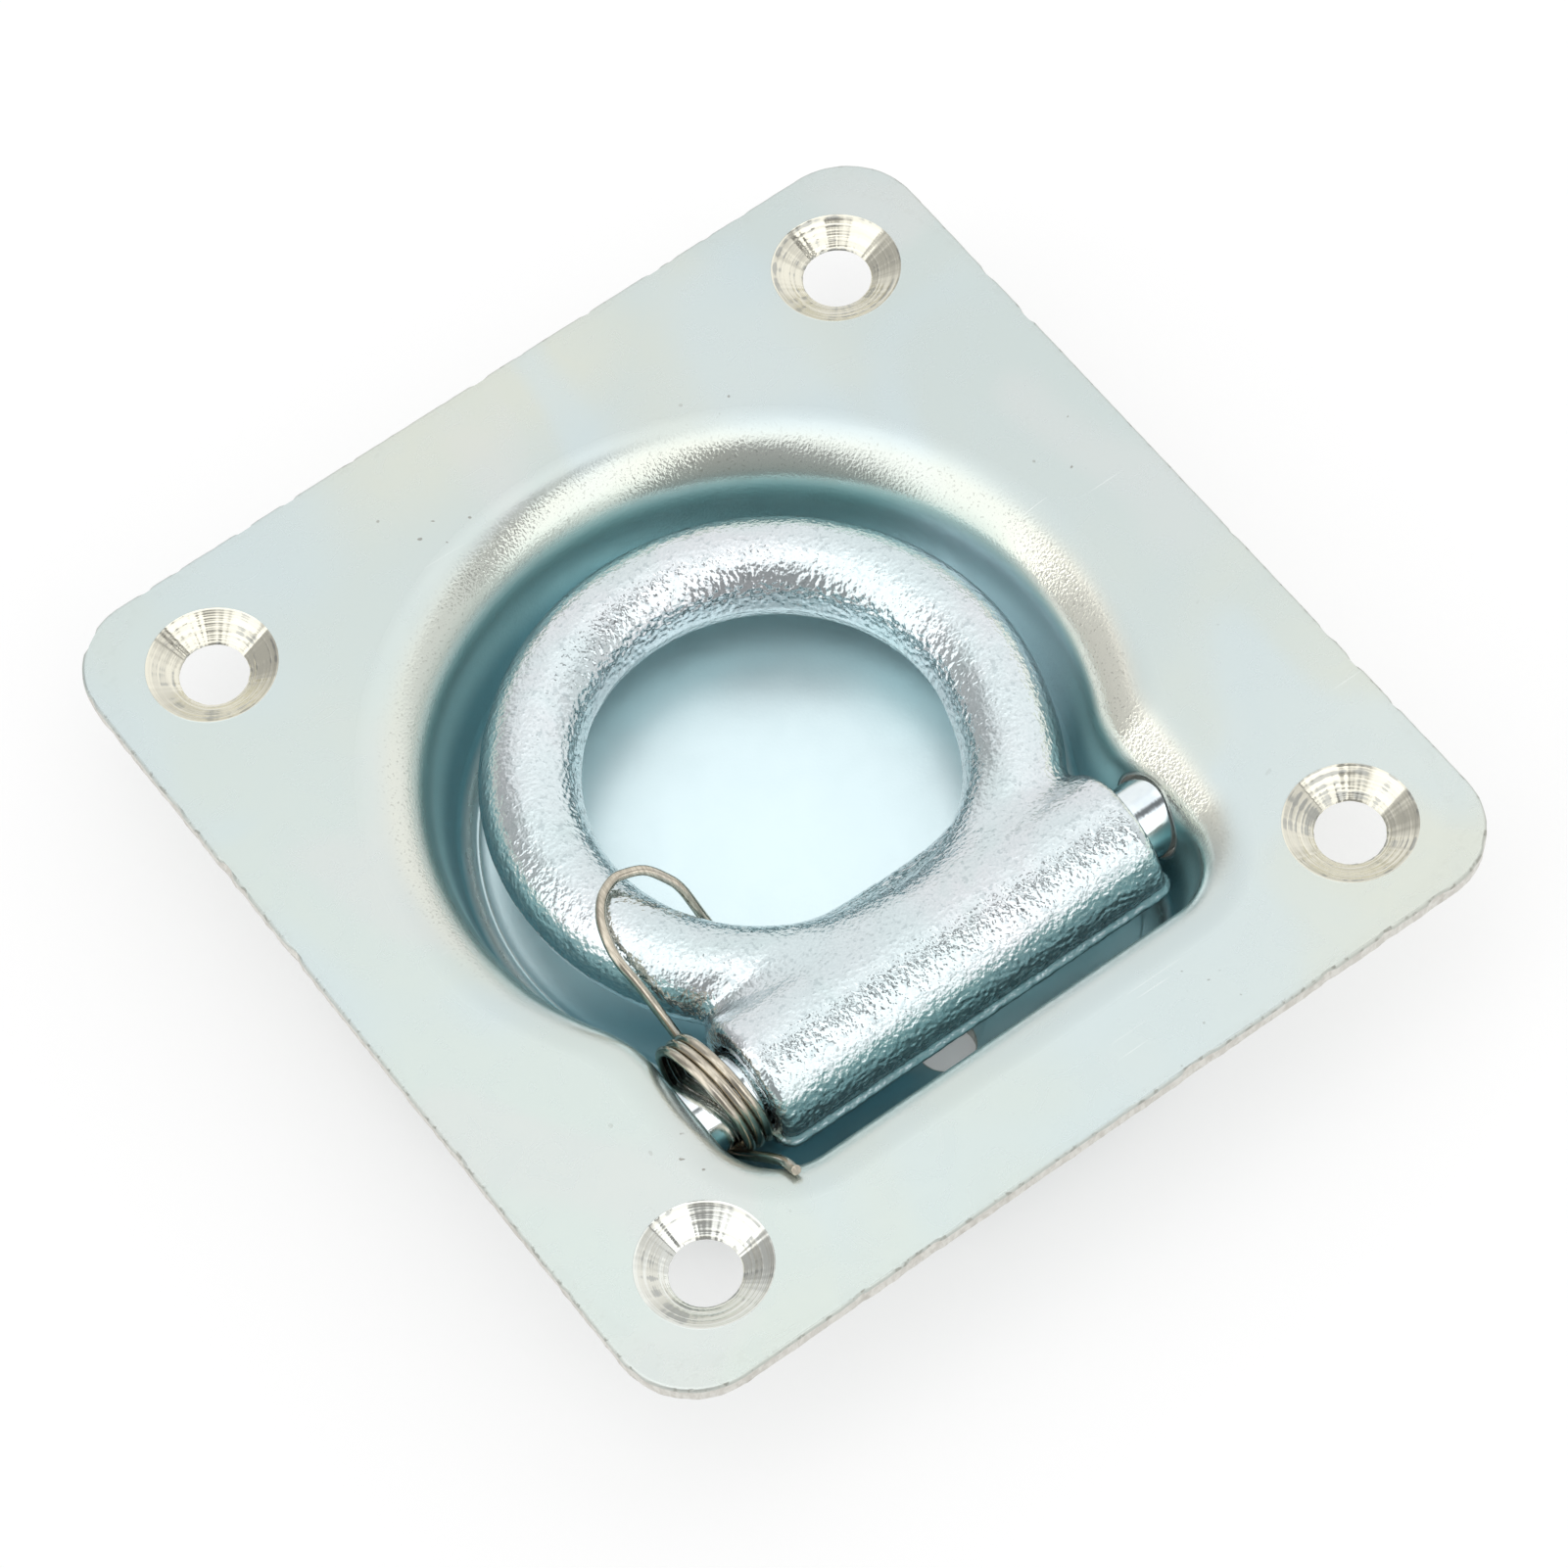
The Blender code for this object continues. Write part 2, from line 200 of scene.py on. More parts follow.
def arc(cx, cy, radius, start, end, steps):
    angles = [start + (end - start) * i / steps for i in range(steps + 1)]
    return [(cx + radius * math.cos(a), cy + radius * math.sin(a)) for a in angles]


def circle(cx, cy, radius, z, steps):
    return [(x, y, z) for x, y in arc(cx, cy, radius, 0, 2 * math.pi * (1 - 1 / steps), steps - 1)]


def wobble(x, y, z, scale, seed=0.0):
    """Smooth noise, between about -1 and 1."""
    return noise.noise(Vector((x * scale + seed, y * scale - seed, z * scale + 0.5 * seed)))


# ---------------------------------------------------------------- plate


def dish_outline(inset, corner):
    """Plan outline of the dish, moved inwards by inset from where the lip leaves the plate."""
    jx = ear_half + EAR_JUNCTION
    jy = -math.sqrt((dish_radius + EAR_JUNCTION) ** 2 - jx**2)
    meeting = math.atan2(jy, jx)
    cx = ear_half - inset - corner
    cy = front_y - DISH_Y + inset + corner
    right = arc(0, 0, dish_radius - inset, math.pi / 2, meeting, 72)
    right += arc(jx, jy, EAR_JUNCTION + inset, meeting + math.pi, math.pi, 14)[1:]
    right += arc(cx, cy, corner, 0, -math.pi / 2, 20)
    right += [(cx * (1 - i / 12), right[-1][1]) for i in range(1, 13)]
    left = [(-x, y) for x, y in reversed(right[1:-1])]
    return [(x + DISH_X, y + DISH_Y) for x, y in right + left]


def lip_place(turn, above):
    """(inset, depth) on the lip's ellipse, or above it by so much along its normal."""
    normal = Vector((LIP_HEIGHT * math.sin(turn), -LIP_WIDTH * math.cos(turn))).normalized()
    inset = LIP_WIDTH * math.sin(turn) + above * normal.x
    depth = LIP_HEIGHT * (1 - math.cos(turn)) + above * normal.y
    return inset, depth


def lip_profile(under):
    """(inset, depth) down the lip, from the flat just outside it to the wall."""
    flat = [(-0.25 * MM, under), (-0.08 * MM, under)]
    return flat + [lip_place(lip_turn * i / LIP_STEPS, -under) for i in range(LIP_STEPS + 1)]


def easy_profile():
    """The same for a rounder lip, an arc that runs into the same wall."""
    depth = EASY_RADIUS * (1 - math.sin(DRAFT))
    start = lip_run + (depth - lip_drop) * math.tan(DRAFT) - EASY_RADIUS * math.cos(DRAFT)
    places = [(start - 0.25 * MM, 0.0), (start - 0.08 * MM, 0.0)]
    for i in range(LIP_STEPS + 1):
        a = (math.pi / 2 - DRAFT) * i / LIP_STEPS
        places.append((start + EASY_RADIUS * math.sin(a), EASY_RADIUS * (1 - math.cos(a))))
    return places


def easy_share(point):
    """1 where the upper face of the lip is the rounder one: everywhere but the front and the left ear."""
    return min(1.0, max(0.0, (point.y + 0.28 * point.x + 26.5 * MM) / (10 * MM)))


def down_to_floor(lip, under):
    """A lip's profile continued down the wall, round the fillet and onto the floor."""
    fillet = FLOOR_RADIUS + under
    lip_inset, lip_depth = lip[-1]
    foot_inset = dish_run - fillet * math.cos(DRAFT)
    foot_depth = DISH_DEPTH + under - fillet * (1 - math.sin(DRAFT))
    line = list(lip)
    for i in range(1, WALL_STEPS):
        t = i / WALL_STEPS
        line.append((lip_inset + (foot_inset - lip_inset) * t, lip_depth + (foot_depth - lip_depth) * t))
    for i in range(FILLET_STEPS + 1):
        a = DRAFT + (math.pi / 2 - DRAFT) * i / FILLET_STEPS
        ridge = 0.0
        if not under:
            # The punch left a fine raised line just before the floor goes flat.
            ridge = 0.07 * MM * math.exp(-(((math.degrees(a) - 72.5) / 2.4) ** 2))
        reach = fillet - ridge
        line.append((dish_run - reach * math.cos(a), DISH_DEPTH + under - fillet + reach * math.sin(a)))
    return line + [(dish_run + 0.15 * MM, DISH_DEPTH + under), (dish_run + 0.6 * MM, DISH_DEPTH + under)]


def dish_face(bm, under):
    """Loops down one face of the dish, the inside or `under` it, from the plate to the floor."""
    lip = lip_profile(under)
    tight = down_to_floor(lip, under)
    easy = tight if under else down_to_floor(easy_profile(), under)
    loops = []
    for i, places in enumerate(zip(tight, easy)):
        outlines = []
        for inset, depth in places:
            corner = EAR_CORNER + (lip_run - inset if i < len(lip) else under * math.cos(DRAFT))
            outlines.append([Vector((x, y, HEIGHT - depth)) for x, y in dish_outline(inset, corner)])
        loops.append(add_loop(bm, [p.lerp(q, easy_share(p)) for p, q in zip(*outlines)]))
    return loops


def plate_outline(inset, z, rough=0.0, seed=0.0):
    """Plan outline of the plate. rough lets the sheared edge wander inwards."""
    radius = PLATE_CORNER - inset
    x = PLATE_HIGH[0] - PLATE_CORNER
    y = PLATE_HIGH[1] - PLATE_CORNER
    signs = ((1, 1), (-1, 1), (-1, -1), (1, -1))
    points = []
    for i, (sx, sy) in enumerate(signs):
        start = i * math.pi / 2
        end = start + math.pi / 2
        points += arc(sx * x, sy * y, radius, start, end, 24)
        last = Vector(points[-1])
        nx, ny = signs[(i + 1) % 4]
        target = Vector((nx * x + radius * math.cos(end), ny * y + radius * math.sin(end)))
        points += [tuple(last.lerp(target, k / EDGE_STEPS)) for k in range(1, EDGE_STEPS)]
    placed = []
    for px, py in points:
        move = 0.0
        if rough:
            # Nicks here and there, deepest at the top edge.
            nick = max(0.0, wobble(px, py, 0, 430, 3.0) - 0.30) * 1.1 * MM
            share = 1 if z > HEIGHT - 0.7 * MM else 0.3
            move = rough * (0.5 + 0.5 * wobble(px, py, z, 900, seed)) + share * nick
        centre = Vector((max(-x, min(x, px)), max(-y, min(y, py))))
        out = (Vector((px, py)) - centre).normalized()
        placed.append((px - out.x * move, py - out.y * move, z))
    return placed


def screw_hole(bm, cx, cy, seed):
    """Loops of a countersunk hole, from the flat round it to the sheet's underside."""
    # (radius, depth): the flat, a fine burr round the rim, the cone, and the short bore.
    burr = [(0.16, 0.0), (0.08, 0.0), (0.03, -0.015), (-0.04, 0.02)]
    profile = [(RIM + wider * MM, depth * MM) for wider, depth in burr]
    profile += [(RIM + (BORE - RIM) * i / 15, CONE_DEPTH * i / 15) for i in range(1, 15)]
    bore_start = len(profile)
    profile += [
        (BORE + 0.03 * MM, CONE_DEPTH - 0.01 * MM),
        (BORE, CONE_DEPTH + 0.03 * MM),
        (BORE + 0.02 * MM, SHEET - 0.02 * MM),
        (BORE + 0.06 * MM, SHEET),
    ]
    loops = []
    for k, (radius, depth) in enumerate(profile):
        points = circle(cx, cy, radius, HEIGHT - depth, ROUND_STEPS)
        if 3 <= k < len(profile) - 1:
            points = [chattered(p, cx, cy, radius, seed, k >= bore_start) for p in points]
        loops.append(add_loop(bm, points))
    return loops


def chattered(point, cx, cy, radius, seed, in_bore):
    """Chatter leaves low steps round the cone, and the bore's edge is a little ragged."""
    x, y, z = point
    a = math.atan2(y - cy, x - cx)
    z += 0.022 * MM * wobble(math.cos(a), math.sin(a), radius * 60, 2.6, seed)
    ragged = 0.05 * MM * wobble(math.cos(a), math.sin(a), 0, 7.0, seed) if in_bore else 0
    return x - math.cos(a) * ragged, y - math.sin(a) * ragged, z


def plate_sides(bm):
    """The rounded top edge, the sheared side and the underside's rim. Gives its first and last loops."""
    top = [add_loop(bm, plate_outline(inset, HEIGHT)) for inset in (1.2 * MM, EDGE_ROUND + 0.1 * MM)]
    for i in range(5):
        a = math.pi / 2 * i / 4
        inset = EDGE_ROUND * (1 - math.sin(a))
        z = HEIGHT - EDGE_ROUND * (1 - math.cos(a))
        top.append(add_loop(bm, plate_outline(inset, z, 0.03 * MM * i)))
    side = [top[-1]]
    for depth, rough, seed in SHEARED_SIDE:
        side.append(add_loop(bm, plate_outline(0, HEIGHT - depth * MM, rough * MM, seed)))
    side.append(add_loop(bm, plate_outline(0.12 * MM, HEIGHT - SHEET, 0.10 * MM, 13.0)))
    below = [side[-1], add_loop(bm, plate_outline(0.6 * MM, HEIGHT - SHEET))]
    bridge(bm, top)
    bridge(bm, side, EDGE_SLOT)
    bridge(bm, below)
    return top[0], below[-1]


def build_punch():
    """One punch goes straight through both ears for the pin, another through the floor."""
    bm = bmesh.new()
    pin_hole = []
    for x in (-1.2 * ear_half, 1.2 * ear_half):
        section = circle(HINGE.y, HINGE.z, BORE_RADIUS, x, ROUND_STEPS)
        pin_hole.append(add_loop(bm, [(along, y, z) for y, z, along in section]))
    drain = []
    for wider, z in DRAIN_PUNCH:
        drain.append(add_loop(bm, circle(DRAIN_X, DRAIN_Y, DRAIN_RADIUS + wider * MM, z * MM, 72)))
    for loops in (pin_hole, drain):
        bridge(bm, loops, EDGE_SLOT)
        cap(bm, loops)
    return add_object("punch", to_mesh(bm, "punch"))


def build_plate(sheet, cut, sheared):
    materials = (sheet, cut, sheared)
    bm = bmesh.new()
    upper = dish_face(bm, 0.0)
    lower = dish_face(bm, SHEET)
    bridge(bm, upper)
    bridge(bm, lower)
    top_rim, bottom_rim = plate_sides(bm)
    tops = []
    bottoms = []
    for i, (sx, sy) in enumerate(((-1, -1), (1, -1), (1, 1), (-1, 1))):
        x = sx * HOLE_X
        y = sy * HOLE_Y
        loops = screw_hole(bm, x, y, 11.0 * i)
        bridge(bm, loops[:3], SHEET_SLOT)
        bridge(bm, loops[2:], CONE_SLOT)
        outside = add_loop(bm, circle(x, y, BORE + 0.4 * MM, HEIGHT - SHEET, ROUND_STEPS))
        bridge(bm, [loops[-1], outside])
        tops.append(loops[0])
        bottoms.append(outside)
    fill(bm, top_rim, upper[0], *tops)
    fill(bm, bottom_rim, lower[0], *bottoms)
    fill(bm, upper[-1])
    fill(bm, lower[-1])
    bmesh.ops.recalc_face_normals(bm, faces=bm.faces)
    mesh = to_mesh(bm, "dish_plate_whole")
    for material in materials:
        mesh.materials.append(material)
    whole = add_object("dish_plate_whole", mesh)
    punch = build_punch()
    cutter = whole.modifiers.new("punched_holes", "BOOLEAN")
    cutter.operation = "DIFFERENCE"
    cutter.solver = "EXACT"
    cutter.object = punch
    graph = bpy.context.evaluated_depsgraph_get()
    punched = bpy.data.meshes.new_from_object(whole.evaluated_get(graph))
    punched.name = "dish_plate_detail"
    bpy.data.objects.remove(whole)
    bpy.data.objects.remove(punch)
    return finish_mesh("dish_plate_detail", punched, materials, 28.0)


# ---------------------------------------------------------------- ring


def smooth_min(a, b, width):
    blend = np.maximum(width - np.abs(a - b), 0.0) / width
    return np.minimum(a, b) - blend * blend * width / 4


def loop_field(x, y, z):
    """The forged loop, in millimetres about its own centre."""
    bar = BAR_RADIUS / MM
    bearing = np.degrees(np.arctan2(y, x))
    # The right leg runs on straighter than the circle as it comes down to the barrel.
    leg = np.clip((-bearing - 18) / 30, 0, 1) * (bearing > -90)
    radius = RING_RADIUS / MM + 0.75 * leg * leg * (3 - 2 * leg)
    away = np.hypot(x, y) - radius
    loop = np.hypot(away, z) - bar
    # Flash trimmed off at the parting plane leaves a low ridge, stronger inside the window.
    loop -= 0.16 * np.exp(-((z / 0.55) ** 2)) * np.clip(-away / bar, 0, 1)
    loop -= 0.10 * np.exp(-((z / 0.5) ** 2)) * np.clip(away / bar, 0, 1)
    return loop


def barrel_field(x, y, z):
    """The barrel, in millimetres about the hinge."""
    end_round = 1.3
    over_r = np.hypot(y, z) - (BARREL_RADIUS / MM - end_round)
    over_x = np.abs(x) - (BARREL_HALF / MM - end_round)
    outside = np.hypot(np.maximum(over_r, 0), np.maximum(over_x, 0))
    barrel = outside + np.minimum(np.maximum(over_r, over_x), 0) - end_round
    # The front is fuller below the parting plane, with a ragged ledge of flash at its top.
    ragged = 0.75 + 0.15 * np.sin(1.9 * x) + 0.10 * np.sin(4.7 * x + 1.3)
    lift = 0.30 * (1 - np.tanh((z + 0.35) / 0.22)) + 0.16 * ragged * np.exp(-(((z + 0.75) / 0.4) ** 2))
    return barrel - lift * np.clip(-y / 6, 0, 1) * np.clip((z + 4) / 3, 0, 1)


def ring_field(p):
    """Distance from the ring forging's skin, negative inside, in millimetres."""
    barrel_join = 2.6
    web_join = 1.6
    bore_flare = 0.5
    x = p[..., 0] - RING_X / MM
    y = p[..., 1] - HINGE.y / MM
    z = p[..., 2] - HINGE.z / MM
    web = np.hypot(p[..., 1] - WEB_Y / MM, z) - WEB_RADIUS / MM
    web = np.maximum(web, np.abs(x) - WEB_HALF / MM)
    body = smooth_min(loop_field(x, p[..., 1] - RING_Y / MM, z), barrel_field(x, y, z), barrel_join)
    body = smooth_min(body, web, web_join)
    across = np.hypot(y, z)
    bore = BORE_RADIUS / MM - across
    flare = bore + bore_flare - np.maximum(BARREL_HALF / MM - np.abs(x), 0)
    return np.maximum(body, np.maximum(bore, flare))


def surface_net(field, low, step):
    """Points and quads of the surface where a sampled field changes sign."""
    shape = np.array(field.shape) - 1
    total = np.zeros((*shape, 3))
    count = np.zeros(shape)
    corners = [np.array((i, j, k)) for i in (0, 1) for j in (0, 1) for k in (0, 1)]
    for a in corners:
        for axis in range(3):
            if a[axis]:
                continue
            b = a.copy()
            b[axis] = 1
            cut_a = tuple(slice(o, o + n) for o, n in zip(a, shape))
            cut_b = tuple(slice(o, o + n) for o, n in zip(b, shape))
            fa = field[cut_a]
            fb = field[cut_b]
            crossed = (fa < 0) != (fb < 0)
            t = np.where(crossed, fa / np.where(crossed, fa - fb, 1), 0)
            for i in range(3):
                total[..., i] += np.where(crossed, a[i] + t * (b[i] - a[i]), 0)
            count += crossed
    used = count > 0
    index = np.full(shape, -1)
    index[used] = np.arange(used.sum())
    cells = np.argwhere(used)
    points = low + step * (cells + total[used] / count[used][:, None])
    quads = []
    for axis in range(3):
        u, v = (axis + 1) % 3, (axis + 2) % 3
        lo = [slice(None)] * 3
        hi = [slice(None)] * 3
        lo[axis] = slice(0, -1)
        hi[axis] = slice(1, None)
        edges = np.argwhere((field[tuple(lo)] < 0) != (field[tuple(hi)] < 0))
        edges = edges[(edges[:, (u, v)] > 0).all(1) & (edges[:, (u, v)] < shape[[u, v]]).all(1)]
        around = []
        for du, dv in ((-1, -1), (0, -1), (0, 0), (-1, 0)):
            cell = edges.copy()
            cell[:, u] += du
            cell[:, v] += dv
            around.append(index[cell[:, 0], cell[:, 1], cell[:, 2]])
        quad = np.stack(around, 1)
        inward = field[edges[:, 0], edges[:, 1], edges[:, 2]] > 0
        quad[inward] = quad[inward][:, ::-1]
        quads.append(quad)
    return points, np.concatenate(quads)


def gradient(field, points):
    """The field's unit direction of growth at each point."""
    step = 0.02
    parts = []
    for axis in range(3):
        shift = np.zeros(3)
        shift[axis] = step
        parts.append(field(points + shift) - field(points - shift))
    grad = np.stack(parts, 1) / (2 * step)
    return grad / np.maximum(np.linalg.norm(grad, axis=1), 1e-9)[:, None]


def build_ring(material):
    lo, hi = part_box("ring")
    step = 0.28
    margin = 1.2
    low = np.array(lo) / MM - margin
    high = np.array(hi) / MM + margin
    axes = [np.arange(low[i], high[i], step) for i in range(3)]
    grid = np.stack(np.meshgrid(*axes, indexing="ij"), -1)
    points, quads = surface_net(ring_field(grid), low, step)
    for _ in range(3):
        points = points - gradient(ring_field, points) * ring_field(points)[:, None]
    normals = gradient(ring_field, points)
    # The die's wear leaves shallow dents and pits on the skin, but the bore is reamed clean.
    skin = np.hypot(points[:, 1] - HINGE.y / MM, points[:, 2] - HINGE.z / MM) > BORE_RADIUS / MM + 0.3
    for i in np.nonzero(skin)[0]:
        p = Vector(points[i])
        dent = 0.04 * noise.noise(p * 0.25) + 0.012 * noise.noise(p * 0.9 + Vector((7, 3, 1)))
        pit = max(0.0, noise.noise(p * 0.7 + Vector((1, 9, 4))) - 0.45)
        points[i] += normals[i] * (dent - 0.2 * pit - 0.03)
    mesh = bpy.data.meshes.new("ring_detail")
    mesh.from_pydata((points * MM).tolist(), [], quads.tolist())
    mesh.validate()
    return finish_mesh("ring_detail", mesh, (material,), 50.0)


# ---------------------------------------------------------------- pin


def build_pin(material):
    """A turned pin, staked at each end by three lobes just inside its chamfer."""
    lo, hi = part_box("pivot_pin")
    chamfer = 0.4 * MM
    lobes = (0, math.pi, 1.5 * math.pi)
    # (radius, distance from the end)
    profile = [
        (PIN_RADIUS * 0.35, 0.0),
        (PIN_RADIUS - chamfer - 0.1 * MM, 0.02 * MM),
        (PIN_RADIUS - chamfer, 0.06 * MM),
        (PIN_RADIUS - 0.05 * MM, chamfer),
        (PIN_RADIUS, chamfer + 0.1 * MM),
    ]
    length = hi[0] - lo[0]
    stations = [(radius, lo[0] + x) for radius, x in profile]
    stations += [(PIN_RADIUS, lo[0] + length * i / 24) for i in range(1, 24)]
    stations += [(radius, hi[0] - x) for radius, x in reversed(profile)]
    bm = bmesh.new()
    loops = []
    for radius, x in stations:
        end = min(x - lo[0], hi[0] - x)
        swell = 0.42 * MM * math.exp(-(((end - 1.25 * MM) / (0.45 * MM)) ** 2))
        points = []
        for i in range(ROUND_STEPS):
            a = 2 * math.pi * i / ROUND_STEPS
            off = min(abs((a - lobe + math.pi) % (2 * math.pi) - math.pi) for lobe in lobes)
            r = radius + swell * math.exp(-((off / 0.2) ** 2))
            points.append((x, HINGE.y + r * math.cos(a), HINGE.z + r * math.sin(a)))
        loops.append(add_loop(bm, points))
    bridge(bm, loops)
    cap(bm, loops)
    return finish_mesh("pivot_pin_detail", to_mesh(bm, "pivot_pin_detail"), (material,), 35.0)


# ---------------------------------------------------------------- spring

# The coil, in millimetres and degrees about the hinge. It is pulled up and back on the pin, and leans.
COIL_RADIUS = 12.5 / 2
COIL_PITCH = 1.09
COIL_MIDDLE = -25.9
COIL_LIFT_Y = 0.75
COIL_LIFT_Z = 1.05
COIL_LEAN = -0.08
COIL_START = 228.0
COIL_END = 1392.0
# The tail over the ear's lip: (bearing round the ear's corner, turn down the lip), in degrees.
TAIL_ROUTE = ((246.0, 32.0), (235.0, 70.0))
# The hook over the ring: (bearing round the ring, turn round its bar, in degrees, gap in millimetres).
HOOK_ROUTE = (
    (209.9, 28.5, 1.0),
    (204.3, 48.0, 1.6),
    (200.4, 57.5, 1.4),
    (195.8, 72.0, 1.1),
    (192.1, 90.7, 0.9),
    (190.4, 111.0, 1.1),
    (191.1, 124.0, 1.5),
    (194.0, 139.0, 2.2),
    (199.4, 153.0, 2.3),
    (204.3, 164.6, 2.1),
    (212.0, 189.8, 1.4),
    (217.0, 205.0, 1.3),
)


def coil_point(angle):
    """A place on the coil's middle line."""
    a = math.radians(angle)
    along_y = COIL_RADIUS * math.cos(a)
    along_z = COIL_RADIUS * math.sin(a)
    x = COIL_MIDDLE + COIL_PITCH * (angle - (COIL_START + COIL_END) / 2) / 360
    x += COIL_LEAN * (along_y + along_z)
    return Vector((x * MM, HINGE.y + (COIL_LIFT_Y + along_y) * MM, HINGE.z + (COIL_LIFT_Z + along_z) * MM))


def tail_point(bearing, over_lip):
    """A place on the tail, just above the lip at the left ear's front corner."""
    spread = EAR_CORNER + lip_run
    inset, depth = lip_place(math.radians(over_lip), WIRE_RADIUS + 0.3 * MM)
    bearing = math.radians(bearing)
    x = DISH_X - ear_half + spread + (spread - inset) * math.cos(bearing)
    y = front_y + spread + (spread - inset) * math.sin(bearing)
    return Vector((x, y, HEIGHT - depth))


def hook_point(bearing, round_bar, off_bar):
    """A place on the hook, just off the ring's bar."""
    stand_off = BAR_RADIUS + off_bar * MM
    bearing = math.radians(bearing)
    round_bar = math.radians(round_bar)
    reach = RING_RADIUS + stand_off * math.cos(round_bar)
    x = RING_X + reach * math.cos(bearing)
    y = RING_Y + reach * math.sin(bearing)
    return Vector((x, y, HINGE.z + stand_off * math.sin(round_bar)))


def smooth_route(points, steps):
    """Points along a smooth curve through the given points, without its first and last spans."""
    route = []
    for before, start, end, after in zip(points, points[1:], points[2:], points[3:]):
        for i in range(steps):
            t = i / steps
            cubic = (3 * start - before - 3 * end + after) * t**3
            square = (2 * before - 5 * start + 4 * end - after) * t**2
            route.append(0.5 * (2 * start + (end - before) * t + square + cubic))
    return route


def spring_route():
    """The wire's middle line: tail, coil, then hook."""
    turns = COIL_END - COIL_START
    count = round(turns / 18)
    coil = [coil_point(COIL_START + turns * i / count) for i in range(count + 1)]
    tail = [tail_point(*place) for place in TAIL_ROUTE]
    hook = [hook_point(*place) for place in HOOK_ROUTE]
    points = smooth_route([2 * tail[0] - tail[1], *tail, coil[0], coil[1]], 14)
    points += [coil_point(COIL_START + turns * i / (count * 3)) for i in range(count * 3)]
    points += smooth_route([coil[-2], coil[-1], *hook, 2 * hook[-1] - hook[-2]], 8)
    return points + [hook[-1]]


def build_spring(material):
    points = spring_route()
    sides = 20
    last = len(points) - 1
    # The cropped ends are a little rounded: (share of the radius, shift along the wire).
    cropped = {0: ((0.86, 0.0), (1.0, 0.07 * MM)), last: ((1.0, -0.07 * MM), (0.86, 0.0))}
    normal = Vector((1, 0, 0))
    bm = bmesh.new()
    loops = []
    for i, p in enumerate(points):
        along = (points[min(i + 1, last)] - points[max(i - 1, 0)]).normalized()
        normal = (normal - along * normal.dot(along)).normalized()
        across = along.cross(normal)
        for share, shift in cropped.get(i, ((1.0, 0.0),)):
            rim = []
            for k in range(sides):
                a = 2 * math.pi * k / sides
                out = normal * math.cos(a) + across * math.sin(a)
                rim.append(p + along * shift + out * WIRE_RADIUS * share)
            loops.append(add_loop(bm, rim))
    bridge(bm, loops)
    cap(bm, loops)
    return finish_mesh("torsion_spring_detail", to_mesh(bm, "torsion_spring_detail"), (material,), 40.0)


# ---------------------------------------------------------------- materials


class Nodes:
    """Short calls for the nodes of one shader tree."""

    def __init__(self, tree, place):
        self.tree = tree
        self.place = tree.nodes.new("ShaderNodeTexCoord").outputs[place]

    def put(self, socket, value):
        if isinstance(value, bpy.types.NodeSocket):
            self.tree.links.new(value, socket)
        else:
            socket.default_value = value

    def math(self, operation, a, b=0.0):
        node = self.tree.nodes.new("ShaderNodeMath")
        node.operation = operation
        self.put(node.inputs[0], a)
        self.put(node.inputs[1], b)
        return node.outputs[0]

    def times(self, first, *others):
        for other in others:
            first = self.math("MULTIPLY", first, other)
        return first

    def most(self, first, *others):
        for other in others:
            first = self.math("MAXIMUM", first, other)
        return first

    def plus(self, a, b):
        return self.math("ADD", a, b)

    def minus(self, a, b):
        return self.math("SUBTRACT", a, b)

    def size(self, a):
        return self.math("ABSOLUTE", a)

    def distance(self, a, b):
        return self.math("SQRT", self.plus(self.times(a, a), self.times(b, b)))

    def axes(self, vector):
        node = self.tree.nodes.new("ShaderNodeSeparateXYZ")
        self.put(node.inputs[0], vector)
        return node.outputs

    def vector(self, *parts):
        node = self.tree.nodes.new("ShaderNodeCombineXYZ")
        for socket, value in zip(node.inputs, parts):
            self.put(socket, value)
        return node.outputs[0]

    def band(self, value, low, high, to_low=0.0, to_high=1.0):
        """Smooth step of value from low to high."""
        node = self.tree.nodes.new("ShaderNodeMapRange")
        node.interpolation_type = "SMOOTHSTEP"
        for socket, number in zip(node.inputs, (value, low, high, to_low, to_high)):
            self.put(socket, number)
        return node.outputs[0]


